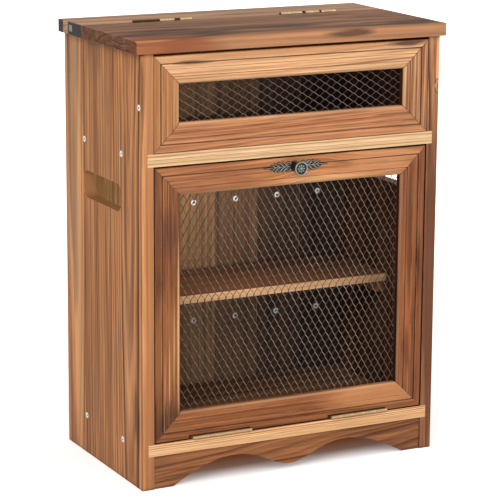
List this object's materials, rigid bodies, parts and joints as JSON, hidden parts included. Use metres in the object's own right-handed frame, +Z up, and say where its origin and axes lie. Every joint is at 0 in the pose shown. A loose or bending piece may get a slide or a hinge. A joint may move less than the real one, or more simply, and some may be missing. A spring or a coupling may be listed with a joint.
{
  "type": "vegetable bin cabinet",
  "caption": "Small stained pine cabinet with mesh panels: a hinged lid over an upper bin and a fold-down mesh door over a lower bin with a shelf.",
  "frame": {"origin": "middle of the bounding box seen from above, on the floor", "axes": "+X to the viewer's right, +Y from the door to the back, +Z up"},
  "size_m": [0.488, 0.292, 0.6382],
  "materials": {
    "side_wood": "pine, brown stain rubbed through, satin wax, upright grain with dark knots and streaks",
    "pale_edge_wood": "pine left pale on the edges, faint tan lines",
    "red_wood": "pine, darker reddish-brown stain",
    "back_wood": "pine, greyish-brown stain, upright grain",
    "top_wood": "pine, grey-brown stain with an orange-brown front zone, grain along the length",
    "frame_wood": "pine, warm brown stain with darker scorched streaks, light worn arrises",
    "mesh_steel": "bare expanded steel mesh, dull",
    "plated_steel": "zinc-plated steel",
    "hinge_brass": "brass plate, slightly dulled",
    "knob_metal": "dark pewter-bronze with worn light ridges",
    "plate_metal": "dark pierced metal with worn light ridges",
    "catch_plastic": "white moulded plastic"
  },
  "bodies": {
    "cabinet": {"side_panel_left": "side_wood", "side_panel_right": "side_wood", "bottom_board": "pale_edge_wood", "divider_board": "pale_edge_wood", "shelf": "pale_edge_wood", "shelf_cleat_left": "red_wood", "shelf_cleat_right": "red_wood", "back_slat_1": "back_wood", "back_slat_2": "back_wood", "back_slat_3": "back_wood", "back_slat_4": "back_wood", "back_slat_5": "back_wood", "back_slat_6": "back_wood", "back_batten_lower": "back_wood", "back_batten_upper": "back_wood", "apron": "red_wood", "rear_top_strip": "top_wood", "upper_rail_top": "frame_wood", "upper_rail_bottom": "frame_wood", "upper_stile_left": "frame_wood", "upper_stile_right": "frame_wood", "upper_mesh": "mesh_steel", "upper_staples": "plated_steel", "lid_leaf_fixed_left": "hinge_brass", "lid_leaf_fixed_right": "hinge_brass", "lid_pins": "hinge_brass", "door_leaf_fixed_left": "hinge_brass", "door_leaf_fixed_right": "hinge_brass", "door_pins": "hinge_brass", "side_screws": "plated_steel", "back_screws": "plated_steel", "lid_fixed_screws": "hinge_brass", "door_fixed_screws": "hinge_brass", "catch_block": "catch_plastic", "catch_screws": "plated_steel"},
    "lid": {"lid_board": "top_wood", "lid_leaf_moving_left": "hinge_brass", "lid_leaf_moving_right": "hinge_brass", "lid_moving_screws": "hinge_brass"},
    "door": {"door_rail_top": "frame_wood", "door_rail_bottom": "frame_wood", "door_stile_left": "frame_wood", "door_stile_right": "frame_wood", "door_mesh": "mesh_steel", "door_staples": "plated_steel", "door_leaf_moving_left": "hinge_brass", "door_leaf_moving_right": "hinge_brass", "door_moving_screws": "hinge_brass", "knob": "knob_metal", "knob_plate": "plate_metal", "knob_screw": "plated_steel", "catch_plate": "plated_steel", "catch_plate_screw": "plated_steel"}
  },
  "joints": [
    {"name": "lid_hinge", "type": "hinge", "parent": "cabinet", "child": "lid", "pos_m": [0, 0.0606, 0.6357], "axis": [-1, 0, 0], "range_deg": [0, 180]},
    {"name": "door_hinge", "type": "hinge", "parent": "cabinet", "child": "door", "pos_m": [0, -0.1248, 0.0684], "axis": [1, 0, 0], "range_deg": [0, 96]}
  ]
}
